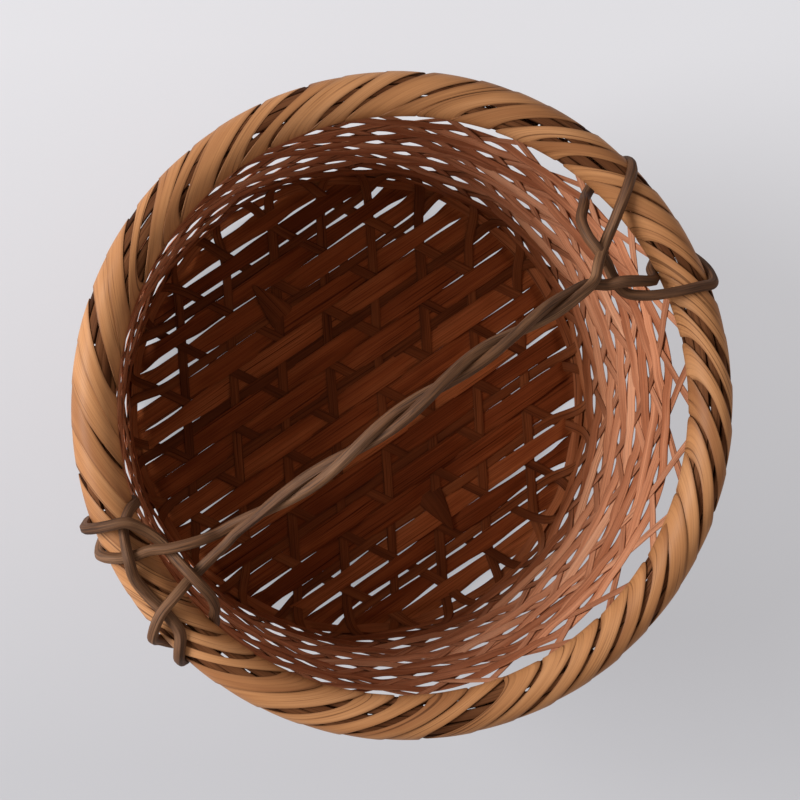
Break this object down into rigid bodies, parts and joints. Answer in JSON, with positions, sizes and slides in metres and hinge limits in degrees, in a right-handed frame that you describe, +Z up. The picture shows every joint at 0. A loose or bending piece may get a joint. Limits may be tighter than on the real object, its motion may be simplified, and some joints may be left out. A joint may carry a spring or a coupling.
{
  "type": "bamboo flower basket",
  "caption": "Round open flower basket woven from split bamboo, with flaring openwork walls, a wound rim and a low arched handle of twisted vine.",
  "frame": {"origin": "on the ground, under the middle of the floor", "axes": "+Z up, +X along the handle and the floor slats, +Y across the handle"},
  "size_m": [0.261, 0.25, 0.1869],
  "materials": {
    "stakes": "split bamboo, smoked brown, satin",
    "floor_slats": "split bamboo, dark red-brown, satin",
    "weavers": "split bamboo, pinkish tan, fine grain, satin",
    "rim_hoops": "split bamboo, brown, matt",
    "rim_binding": "bamboo skin, honey tan, low gloss",
    "vine": "peeled vine, grey-brown, fibrous, matt"
  },
  "bodies": {
    "root": {"stake_a_1": "stakes", "stake_a_2": "stakes", "stake_a_3": "stakes", "stake_a_4": "stakes", "stake_a_5": "stakes", "stake_a_6": "stakes", "stake_a_7": "stakes", "stake_a_8": "stakes", "stake_b_1": "stakes", "stake_b_2": "stakes", "stake_b_3": "stakes", "stake_b_4": "stakes", "stake_b_5": "stakes", "stake_b_6": "stakes", "stake_b_7": "stakes", "stake_b_8": "stakes", "stake_c_1": "stakes", "stake_c_2": "stakes", "stake_c_3": "stakes", "stake_c_4": "stakes", "stake_c_5": "stakes", "stake_c_6": "stakes", "stake_c_7": "stakes", "stake_c_8": "stakes", "floor_slat_01": "floor_slats", "floor_slat_02": "floor_slats", "floor_slat_03": "floor_slats", "floor_slat_04": "floor_slats", "floor_slat_05": "floor_slats", "floor_slat_06": "floor_slats", "floor_slat_07": "floor_slats", "floor_slat_08": "floor_slats", "floor_slat_09": "floor_slats", "floor_slat_10": "floor_slats", "floor_slat_11": "floor_slats", "floor_slat_12": "floor_slats", "floor_slat_13": "floor_slats", "floor_slat_14": "floor_slats", "floor_slat_15": "floor_slats", "floor_slat_16": "floor_slats", "weaver_01": "weavers", "weaver_02": "weavers", "weaver_03": "weavers", "weaver_04": "weavers", "weaver_05": "weavers", "weaver_06": "weavers", "weaver_07": "weavers", "weaver_08": "weavers", "weaver_09": "weavers", "weaver_10": "weavers", "weaver_11": "weavers", "weaver_12": "weavers", "weaver_13": "weavers", "rim_hoop_inner": "rim_hoops", "rim_hoop_outer": "rim_hoops", "rim_core": "rim_hoops", "rim_binding_1": "rim_binding", "rim_binding_2": "rim_binding", "handle_vine": "vine"}
  },
  "joints": []
}
